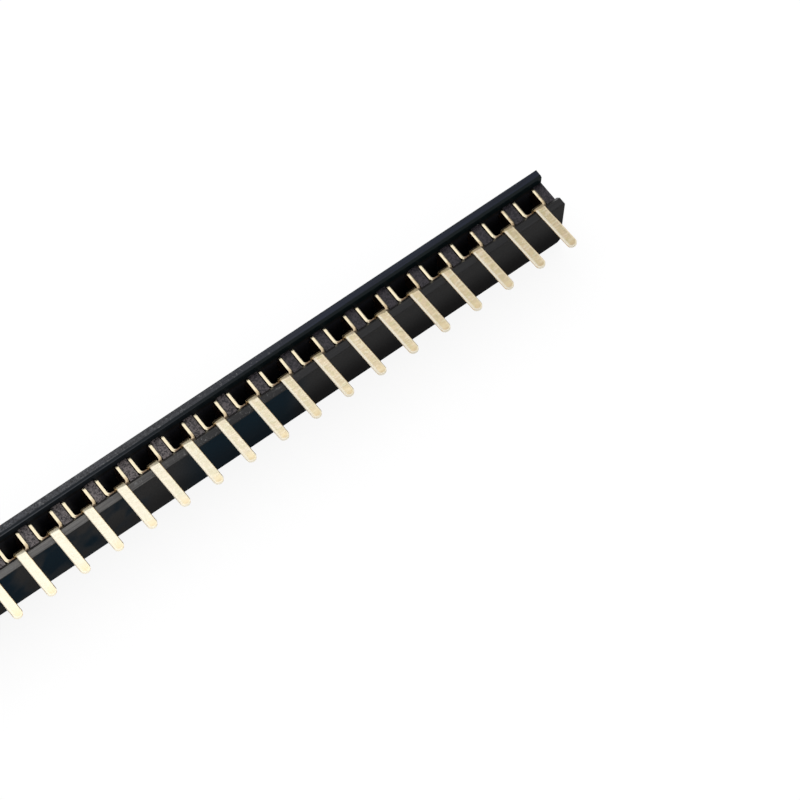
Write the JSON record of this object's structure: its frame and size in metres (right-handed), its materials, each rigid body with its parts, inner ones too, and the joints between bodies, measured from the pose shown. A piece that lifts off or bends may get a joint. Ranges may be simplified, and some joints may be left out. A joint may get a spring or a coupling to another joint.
{
  "type": "female pin header strip",
  "caption": "Right-angle single-row female pin header strip: black moulded body with square funnel sockets, folded spring contacts and flat solder tails bent down past the board side.",
  "frame": {"origin": "centre of the mating face, the face with the square socket mouths, which the strip rests on", "axes": "+X along the row of contacts, +Z from the mating face to the back where the contacts were loaded, -Y towards the circuit board, which is where the tails point"},
  "size_m": [0.1022, 0.006, 0.0059],
  "materials": {
    "housing_plastic": "satin",
    "contact_metal": "satin"
  },
  "bodies": {
    "root": {"housing": "housing_plastic", "contact_01": "contact_metal", "contact_02": "contact_metal", "contact_03": "contact_metal", "contact_04": "contact_metal", "contact_05": "contact_metal", "contact_06": "contact_metal", "contact_07": "contact_metal", "contact_08": "contact_metal", "contact_09": "contact_metal", "contact_10": "contact_metal", "contact_11": "contact_metal", "contact_12": "contact_metal", "contact_13": "contact_metal", "contact_14": "contact_metal", "contact_15": "contact_metal", "contact_16": "contact_metal", "contact_17": "contact_metal", "contact_18": "contact_metal", "contact_19": "contact_metal", "contact_20": "contact_metal", "contact_21": "contact_metal", "contact_22": "contact_metal", "contact_23": "contact_metal", "contact_24": "contact_metal", "contact_25": "contact_metal", "contact_26": "contact_metal", "contact_27": "contact_metal", "contact_28": "contact_metal", "contact_29": "contact_metal", "contact_30": "contact_metal", "contact_31": "contact_metal", "contact_32": "contact_metal", "contact_33": "contact_metal", "contact_34": "contact_metal", "contact_35": "contact_metal", "contact_36": "contact_metal", "contact_37": "contact_metal", "contact_38": "contact_metal", "contact_39": "contact_metal", "contact_40": "contact_metal"}
  },
  "joints": []
}
